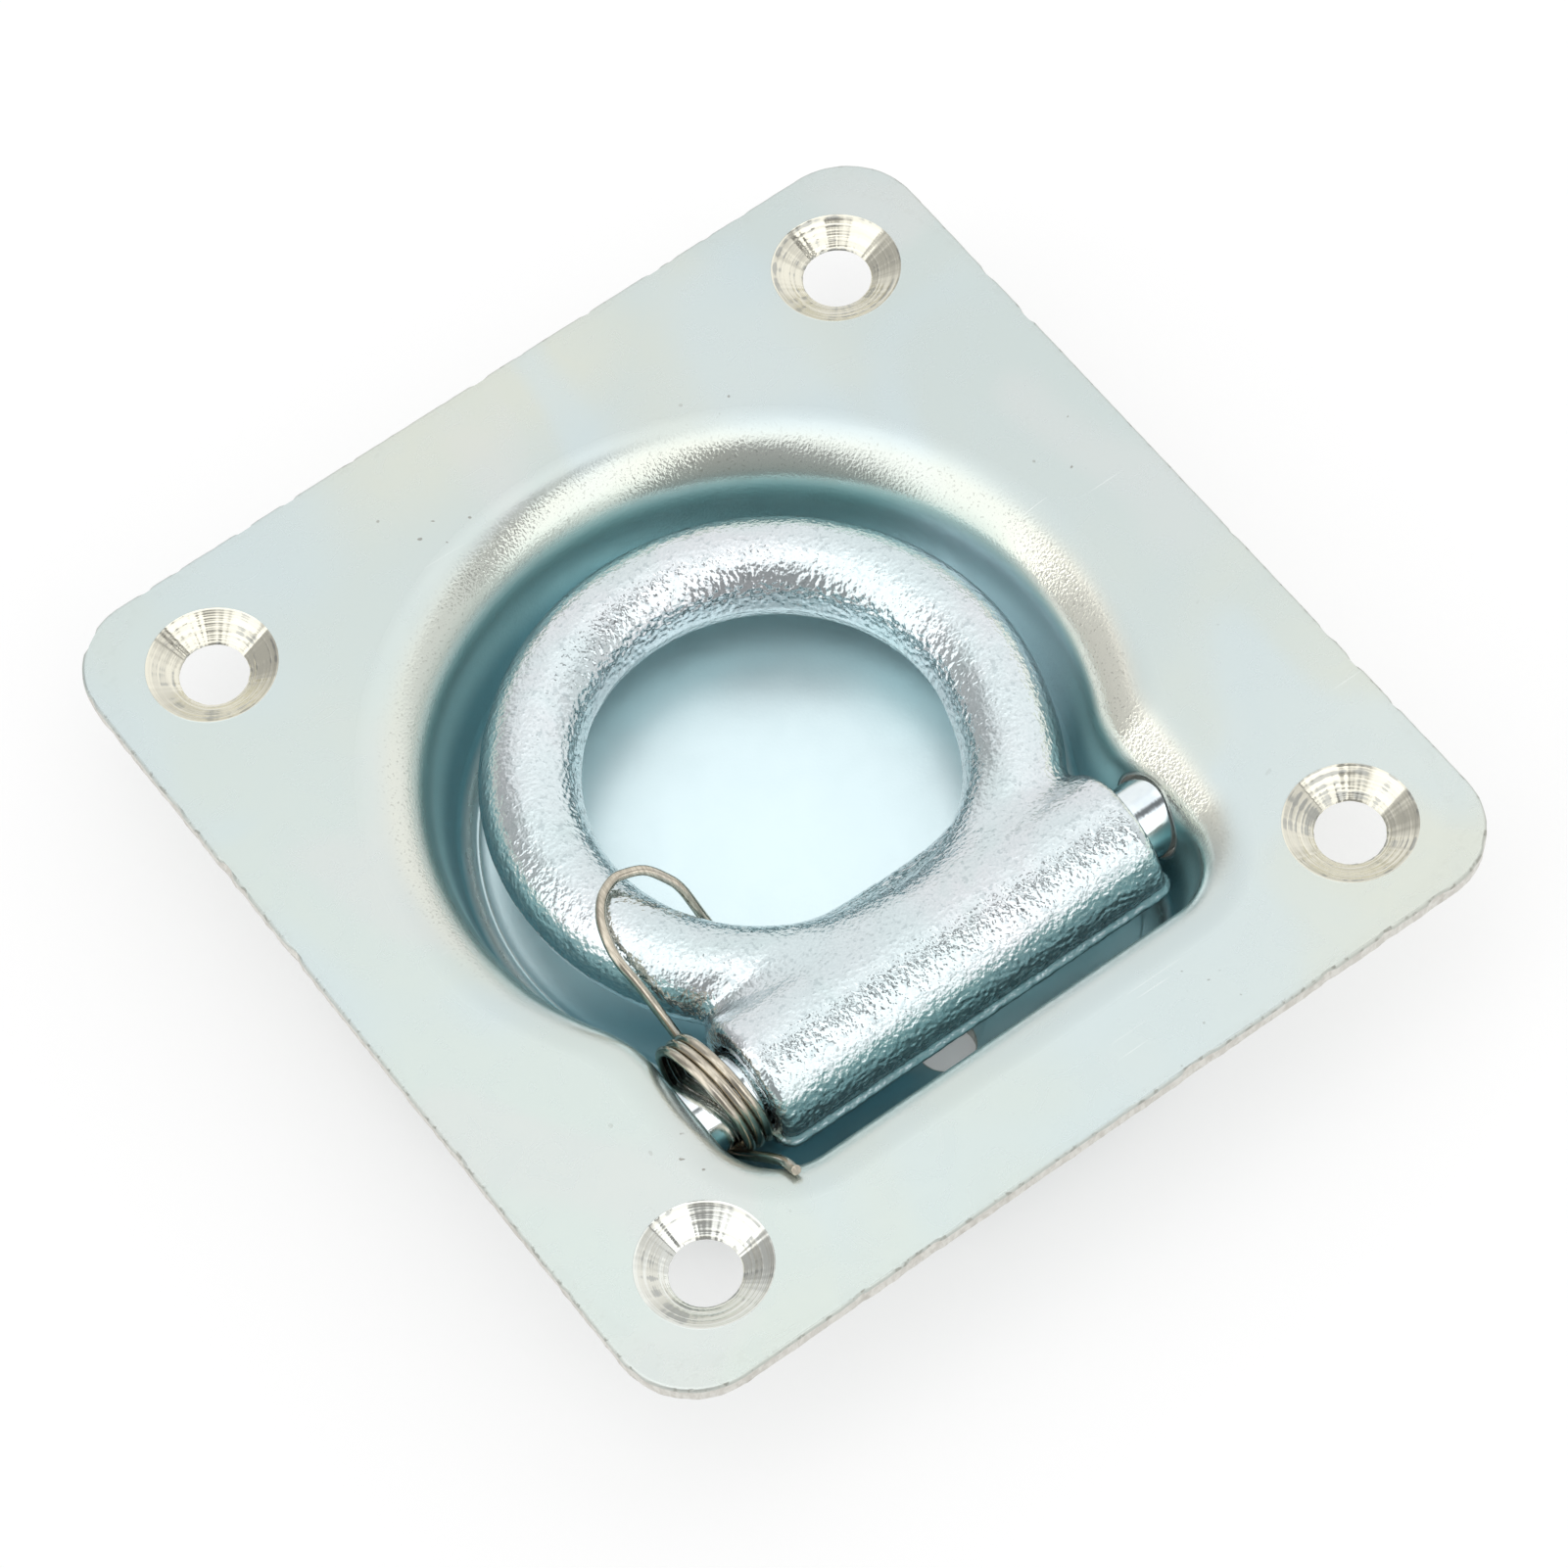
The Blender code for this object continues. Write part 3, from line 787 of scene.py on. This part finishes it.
class Surface(Nodes):
    """A material's tree round its principled shader."""

    def __init__(self, name, **sockets):
        self.material = bpy.data.materials.new(name)
        self.material.use_nodes = True
        super().__init__(self.material.node_tree, "Object")
        self.shader = self.tree.nodes["Principled BSDF"]
        for socket, value in sockets.items():
            self.shader.inputs[socket.replace("_", " ")].default_value = value

    def noise(self, scale, detail=2.0, roughness=0.5, distortion=0.0, place=None):
        node = self.tree.nodes.new("ShaderNodeTexNoise")
        self.put(node.inputs["Vector"], place or self.place)
        node.inputs["Scale"].default_value = scale
        node.inputs["Detail"].default_value = detail
        node.inputs["Roughness"].default_value = roughness
        node.inputs["Distortion"].default_value = distortion
        return node.outputs["Fac"]

    def stretched(self, sx, sy, sz, turn=0.0):
        node = self.tree.nodes.new("ShaderNodeMapping")
        self.put(node.inputs["Vector"], self.place)
        node.inputs["Scale"].default_value = (sx, sy, sz)
        node.inputs["Rotation"].default_value = (0, 0, turn)
        return node.outputs[0]

    def paint(self, under, over, *shares):
        """over on under, as far as the product of the shares says."""
        node = self.tree.nodes.new("ShaderNodeMix")
        node.data_type = "RGBA"
        self.put(node.inputs[0], self.times(*shares))
        for socket, value in ((node.inputs[6], under), (node.inputs[7], over)):
            self.put(socket, value if isinstance(value, bpy.types.NodeSocket) else (*value, 1.0))
        return node.outputs[2]

    def bump(self, height, distance, before=None):
        node = self.tree.nodes.new("ShaderNodeBump")
        self.put(node.inputs["Height"], height)
        node.inputs["Distance"].default_value = distance
        if before is not None:
            self.tree.links.new(before, node.inputs["Normal"])
        return node.outputs[0]

    def normal(self):
        return self.tree.nodes.new("ShaderNodeNewGeometry").outputs["Normal"]

    def finish(self, colour, roughness, normal):
        for socket, value in (("Base Color", colour), ("Roughness", roughness), ("Normal", normal)):
            self.put(self.shader.inputs[socket], value)
        return self.material


def srgb(r, g, b):
    return tuple(((c / 255 + 0.055) / 1.055) ** 2.4 for c in (r, g, b))


def flat_colour(s, x, y, fine):
    """Zinc on the flat: a painted light gradient makes it paler to the near left; yellower in the near
    right corner and at the far edge.
    """
    # Paler towards the near left: painted light, the studio's reflection across the flat.
    light_slope = s.plus(x, s.times(y, 0.6))
    colour = s.paint(srgb(209, 219, 214), srgb(198, 208, 206), s.band(light_slope, -85 * MM, 55 * MM))
    near_right = s.band(s.minus(x, y), 50 * MM, 90 * MM)
    far_edge = s.times(s.band(y, 38 * MM, 50 * MM), s.band(s.size(x), 30 * MM, 8 * MM))
    clouds = s.times(s.band(s.noise(22, 2.0, 0.5, 0.6), 0.52, 0.72), 0.6)
    colour = s.paint(colour, srgb(212, 215, 204), s.most(near_right, far_edge, clouds), 0.8)
    patch = s.noise(30, 1.0, 0.5, 0.8, s.stretched(1.3, 1.0, 1.0, 0.7))
    colour = s.paint(colour, srgb(200, 216, 224), s.band(patch, 0.54, 0.70), 0.36)
    colour = s.paint(colour, srgb(214, 214, 213), s.band(patch, 0.46, 0.34), 0.36)
    return s.paint(colour, srgb(198, 211, 212), s.band(fine, 0.35, 0.7), 0.12)


def wall_colour(s, x, y, depth):
    """The teal skin of the dish's walls, bluer lower down, with painted shade under the lip and at the
    foot, and a painted pale blue reflection on the right.
    """
    teal = s.paint(srgb(176, 206, 205), srgb(174, 215, 217), s.band(depth, 3.0 * MM, 7.0 * MM))
    # Painted shade: the teal darkens towards the wall's foot.
    teal = s.paint(teal, srgb(120, 168, 176), s.band(depth, 7.5 * MM, 11.5 * MM))
    # Painted shade in the wall's upper part, under the lip.
    neck_shade = s.times(s.band(depth, 1.4 * MM, 2.6 * MM), s.band(depth, 7.0 * MM, 4.4 * MM))
    teal = s.paint(teal, srgb(116, 160, 162), neck_shade, 0.6)
    # A painted reflection: the right wall turns pale blue.
    right = s.times(s.band(x, 18 * MM, 27 * MM), s.band(y, -14 * MM, -4 * MM), s.band(y, 22 * MM, 10 * MM))
    return s.paint(teal, srgb(226, 246, 252), right, s.band(depth, 3.4 * MM, 5.4 * MM), 0.8)


def scratches(s):
    """Three sets of fine straight scratches, each in its own direction and broken up."""
    marks = []
    for i, turn in enumerate((0.45, 1.25, 2.3)):
        line = s.band(s.noise(70, 0.0, 0.5, 0.0, s.stretched(1.0, 60.0, 1.0 + i, turn)), 0.84, 0.86)
        marks.append(s.times(line, s.band(s.noise(50 + 9 * i, 1.0), 0.58, 0.66)))
    return s.most(*marks)


def zinc_sheet():
    """The plate's plated faces, with the wear on them, and painted light and shade."""
    s = Surface("zinc_sheet", Metallic=0.82)
    x, y, z = s.axes(s.place)
    nx, ny, up = s.axes(s.normal())
    depth = s.minus(HEIGHT, z)
    fine = s.noise(240, 3.0, 0.6, 0.8)
    grain = s.noise(3300, 1.0, 0.5)

    # Where things are: on the flat, on the floor, on the dish's walls, on its lip, by the pin holes.
    top = s.band(depth, 0.8 * MM, 0.2 * MM)
    floor = s.times(s.band(depth, 1.5 * MM, DISH_DEPTH - 2.0 * MM), s.band(up, 0.80, 0.99))
    outward = s.plus(s.times(nx, x), s.times(ny, y))
    inside = s.times(s.band(depth, 1.0 * MM, 2.4 * MM), s.band(outward, 0.0, -8 * MM))
    wall = s.times(s.band(up, 0.88, 0.45), inside)
    front = s.band(s.plus(y, s.times(x, 0.5)), -12 * MM, -28 * MM)
    lip = s.times(s.band(depth, 0.03 * MM, 1.0 * MM), s.band(depth, 4.6 * MM, 2.4 * MM))
    lip = s.times(lip, s.minus(1.0, s.times(front, 0.75)))
    right_lip_highlight = s.times(s.band(x, 20 * MM, 32 * MM), s.band(y, 10 * MM, -6 * MM))
    from_pin = s.distance(s.minus(y, HINGE.y), s.minus(z, HINGE.z))
    # The burr mask raises the pin holes' rims in the bump, and in the colour it paints a highlight round
    # them.
    burr = s.band(from_pin, BORE_RADIUS + 0.34 * MM, BORE_RADIUS + 0.06 * MM)

    # The floor is shaded under the ring's near left side.
    colour = flat_colour(s, x, y, fine)
    under_ring = s.times(s.band(s.plus(x, y), -26 * MM, -36 * MM), s.band(x, 4 * MM, -8 * MM))
    colour = s.paint(colour, s.paint(srgb(228, 246, 250), srgb(158, 196, 206), under_ring), floor)
    colour = s.paint(colour, wall_colour(s, x, y, depth), wall)
    colour = s.paint(colour, srgb(240, 244, 240), burr, 0.8)

    # The lip's skin is strained, yellowish and grainy; on the right ear's lip a painted highlight makes it
    # near white.
    cream = s.paint(srgb(222, 222, 208), srgb(250, 250, 238), right_lip_highlight)
    colour = s.paint(colour, cream, lip, s.plus(s.times(right_lip_highlight, 0.9), 0.5))
    colour = s.paint(colour, srgb(140, 142, 134), s.band(grain, 0.60, 0.72), lip, 0.35)

    specks = s.times(s.band(s.noise(900, 1.0, 0.4), 0.74, 0.77), s.band(s.noise(45, 2.0), 0.58, 0.68))
    colour = s.paint(colour, srgb(120, 112, 100), specks, top, 0.6)
    colour = s.paint(colour, srgb(238, 242, 240), scratches(s), top, 0.4)

    # The sheared rim is duller, and chipped.
    rim = s.plus(
        s.math("POWER", s.size(s.times(x, 1 / PLATE_HIGH[0])), 8.0),
        s.math("POWER", s.size(s.times(y, 1 / PLATE_HIGH[1])), 8.0),
    )
    rim = s.times(s.band(rim, 0.80, 0.90), s.band(depth, -0.02 * MM, 0.10 * MM))
    chips = s.times(rim, s.band(s.noise(950, 2.0, 0.6), 0.54, 0.64))
    colour = s.paint(colour, srgb(190, 192, 184), rim, 0.6)
    colour = s.paint(colour, srgb(140, 136, 124), chips, 0.45)

    satin = s.most(s.times(wall, s.band(depth, 2.2 * MM, 5.0 * MM)), floor)
    roughness = s.plus(s.band(fine, 0.2, 0.8, 0.22, 0.30), s.times(satin, 0.12))
    roughness = s.minus(roughness, s.times(lip, 0.12))
    roughness = s.plus(roughness, s.times(rim, 0.18))

    normal = s.bump(s.noise(40, 1.0, 0.4), 0.10 * MM)
    normal = s.bump(s.times(s.most(lip, s.times(wall, 0.45)), grain), 0.042 * MM, normal)
    normal = s.bump(burr, -0.16 * MM, normal)
    normal = s.bump(chips, -0.06 * MM, normal)
    normal = s.bump(s.noise(3200, 1.0, 0.5), 0.008 * MM, normal)
    return s.finish(colour, roughness, normal)


def cut_steel():
    """Bare countersinks: turning marks, chatter and a warmer colour, palest in the near left one."""
    s = Surface("cut_countersink", Metallic=1.0)
    x, y = s.axes(s.place)[:2]
    across = s.minus(s.size(x), HOLE_X)
    along = s.minus(s.size(y), HOLE_Y)
    radius = s.distance(across, along)
    turn = s.math("ARCTAN2", along, across)
    side = s.math("SIGN", x)
    ring_place = s.vector(s.times(radius, 1000.0), s.times(turn, 0.16), s.times(side, 7.0))
    rings = s.noise(2.8, 1.0, 0.6, 0.0, ring_place)
    hole = s.plus(s.times(side, 3.0), s.math("SIGN", y))
    chatter = s.noise(1.6, 1.0, 0.5, 0.0, s.vector(s.times(radius, 60.0), s.times(turn, 3.0), hole))
    near_left = s.times(s.band(x, 10 * MM, -10 * MM), s.band(y, 10 * MM, -10 * MM))
    colour = s.paint(srgb(227, 224, 209), srgb(228, 230, 224), near_left)
    colour = s.paint(colour, srgb(204, 202, 190), s.band(rings, 0.40, 0.62), 0.6)
    colour = s.paint(colour, srgb(130, 136, 140), s.band(s.times(rings, chatter), 0.30, 0.38), 0.5)
    normal = s.bump(rings, 0.085 * MM)
    normal = s.bump(chatter, 0.16 * MM, normal)
    return s.finish(colour, s.band(rings, 0.3, 0.7, 0.12, 0.22), normal)


def sheared_edge():
    """The plate's cut side and its punched holes: dull and streaked across the sheet."""
    s = Surface("sheared_edge", Metallic=0.45)
    streaks = s.noise(1.0, 2.0, 0.6, 0.4, s.stretched(1700, 1700, 600))
    patches = s.noise(420, 2.0, 0.6)
    colour = s.paint(srgb(226, 224, 217), srgb(212, 209, 201), s.band(streaks, 0.40, 0.60))
    colour = s.paint(colour, srgb(168, 162, 150), s.band(patches, 0.54, 0.66), 0.25)
    return s.finish(colour, 0.42, s.bump(streaks, 0.05 * MM))


def zinc_forging():
    """The ring's grainy plated skin."""
    s = Surface("zinc_forging", Metallic=0.93)
    x, y, z = s.axes(s.place)
    above = s.minus(z, HINGE.z)
    behind = s.minus(y, HINGE.y)
    grain = s.noise(2200, 1.0, 0.45)
    dimples = s.noise(1000, 0.0)

    tint = s.band(s.noise(60, 2.0, 0.5, 0.8), 0.30, 0.70)
    green = s.band(s.noise(110, 2.0, 0.5, 0.5), 0.50, 0.70)
    colour = s.paint(srgb(212, 225, 227), srgb(220, 224, 227), tint)
    colour = s.paint(colour, srgb(197, 218, 216), green, 0.3)
    # Below the hinge's plane the ring is painted a little bluer, a painted reflection of the dish's teal.
    colour = s.paint(colour, srgb(212, 228, 229), s.band(above, 2.0 * MM, -5.0 * MM))
    hollows = s.band(s.plus(grain, s.times(dimples, 0.5)), 0.86, 0.98)
    colour = s.paint(colour, srgb(150, 164, 168), hollows, 0.35)
    colour = s.paint(colour, srgb(184, 197, 200), s.band(s.noise(2900, 1.0, 0.5), 0.38, 0.62), 0.22)
    roughness = s.band(s.noise(500, 1.0), 0.3, 0.7, 0.08, 0.14)

    # Duller along the trimmed flash on the barrel's front.
    ledge = s.times(s.band(above, 0.2 * MM, -0.2 * MM), s.band(above, -1.7 * MM, -1.2 * MM))
    ledge = s.times(ledge, s.band(behind, -6.2 * MM, -6.9 * MM))
    colour = s.paint(colour, srgb(150, 170, 175), ledge, 0.65)
    roughness = s.plus(roughness, s.times(ledge, 0.22))

    # The skin is coarser on the sides, most of all inside the window and on the barrel.
    from_axis = s.distance(s.minus(x, RING_X), s.minus(y, RING_Y))
    inner = s.most(s.band(from_axis, 24.5 * MM, 23.0 * MM), s.band(behind, 1.0 * MM, -1.0 * MM))
    coarse = s.times(s.band(above, 5.2 * MM, 2.6 * MM), s.plus(s.times(inner, 0.6), 0.4))
    coarse = s.times(coarse, s.band(above, -0.3 * MM, 1.2 * MM, 0.25, 1.0))
    normal = s.bump(dimples, 0.06 * MM)
    normal = s.bump(s.times(s.noise(1750, 0.0), coarse), 0.18 * MM, normal)
    normal = s.bump(grain, 0.10 * MM, normal)
    return s.finish(colour, roughness, normal)


def bright_pin():
    s = Surface("bright_pin", Metallic=1.0)
    lines = s.noise(1.0, 2.0, 0.6, 0.0, s.stretched(4200, 300, 300))
    colour = s.paint(srgb(232, 240, 242), srgb(214, 224, 230), s.band(s.noise(400, 2.0), 0.4, 0.7))
    return s.finish(colour, s.band(s.noise(900, 2.0), 0.35, 0.7, 0.06, 0.14), s.bump(lines, 0.004 * MM))


def spring_wire():
    s = Surface("spring_wire", Metallic=1.0)
    drawn = s.noise(1.0, 2.0, 0.6, 0.2, s.stretched(4200, 700, 700))
    colour = s.paint(srgb(206, 198, 182), srgb(178, 171, 156), s.band(drawn, 0.35, 0.65))
    colour = s.paint(colour, srgb(176, 178, 178), s.band(s.noise(260, 2.0), 0.5, 0.7), 0.3)
    return s.finish(colour, s.band(drawn, 0.3, 0.7, 0.13, 0.22), s.bump(drawn, 0.004 * MM))


# ---------------------------------------------------------------- stage


def build_stage():
    """A white floor, which the camera and gloss see partly aglow, less so under the plate."""
    bpy.ops.mesh.primitive_plane_add(size=8.0, location=(0, 0, 0))
    floor = bpy.context.object
    floor.name = "floor"
    s = Surface("floor_white", Base_Color=(0.96, 0.96, 0.96, 1.0), Roughness=0.9)
    glow = s.tree.nodes.new("ShaderNodeEmission")
    glow.inputs["Strength"].default_value = 1.0
    path = s.tree.nodes.new("ShaderNodeLightPath").outputs
    seen = s.most(path["Is Camera Ray"], path["Is Glossy Ray"], path["Is Transmission Ray"])
    x, y = s.axes(s.place)[:2]
    mix = s.tree.nodes.new("ShaderNodeMixShader")
    s.put(mix.inputs[0], s.times(seen, s.band(s.distance(x, y), 36 * MM, 52 * MM, 0.2, 0.62)))
    s.put(mix.inputs[1], s.shader.outputs[0])
    s.put(mix.inputs[2], glow.outputs[0])
    s.put(s.tree.nodes["Material Output"].inputs["Surface"], mix.outputs[0])
    floor.data.materials.append(s.material)


def build_light():
    """A studio as a world: soft boxes over the left and the front, a pale room round them."""
    world = bpy.data.worlds.new("studio")
    bpy.context.scene.world = world
    world.use_nodes = True
    s = Nodes(world.node_tree, "Generated")
    x, y, z = s.axes(s.place)
    # Degrees from overhead: down in all, u towards +X and v towards +Y.
    down = s.times(s.math("ARCCOSINE", s.math("MINIMUM", s.most(z, -1.0), 1.0)), 180 / math.pi)
    share = s.math("DIVIDE", down, s.most(s.distance(x, y), 0.0001))
    u = s.times(x, share)
    v = s.times(y, share)

    def area(u_side, v_side):
        return s.times(s.band(u, *u_side), s.band(v, *v_side))

    def dim(light, where, amount):
        return s.times(light, s.minus(1.0, s.times(where, amount)))

    # The room, with its dark areas: the back, far left, behind the camera, and to the near right.
    light = s.times(s.band(down, 5.0, 55.0, 1.17, 1.04), s.band(down, 72.0, 104.0, 1.0, 0.55))
    light = dim(light, s.band(v, 16, 34), 0.10)
    light = dim(light, area((6, -30), (20, 42)), 0.52)
    light = dim(light, area((-5, -11), (-15, -27)), 0.68)
    light = dim(light, area((12, 24), (-6, -22)), 0.24)

    # Two soft boxes, each with one slanted edge.
    rise = s.plus(v, s.times(s.plus(u, 20.0), 0.30))
    left_box = s.times(area((-98, -80), (-14, -9)), s.band(u, 9, 1), s.band(rise, 27, 21))
    slant = s.plus(u, s.times(s.plus(v, 16.0), 0.5))
    front_box = s.times(area((-15, -10), (-76, -60)), s.band(slant, 21, 15), s.band(v, -2, -12))
    light = s.most(light, s.times(left_box, 1.40), s.times(front_box, 1.40))

    # A dark seam along the front box's right side.
    seam = s.plus(s.times(s.minus(u, 13.5), 0.894), s.times(s.plus(v, 2.0), 0.447))
    seam = s.times(s.band(s.size(seam), 6.0, 2.0), s.band(v, 4, 0), s.band(v, -60, -45))
    light = dim(light, seam, 0.82)
    background = s.tree.nodes["Background"]
    s.put(background.inputs["Strength"], s.times(light, 1.12))
    background.inputs["Color"].default_value = (1.0, 1.0, 1.0, 1.0)


def build_camera():
    data = bpy.data.cameras.new("camera")
    data.sensor_width = 36.0
    data.lens = 142.58
    data.clip_start = 10 * MM
    camera = add_object("camera", data)
    camera.location = (-0.15911, -0.27488, 0.52313 + HEIGHT)
    camera.rotation_euler = [math.radians(angle) for angle in (30.6849, 3.5615, -36.1420)]
    bpy.context.scene.camera = camera


build_camera()
build_stage()
build_light()
bpy.context.scene.view_settings.view_transform = "Standard"

plate = build_plate(zinc_sheet(), cut_steel(), sheared_edge())
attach(plate, "pan")
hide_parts("dish_plate")

ring = build_ring(zinc_forging())
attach(ring, "ring")
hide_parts("ring")

pin = build_pin(bright_pin())
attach(pin, "pan")
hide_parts("pivot_pin")

spring = build_spring(spring_wire())
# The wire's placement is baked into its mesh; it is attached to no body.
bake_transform(spring)
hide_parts("torsion_spring")
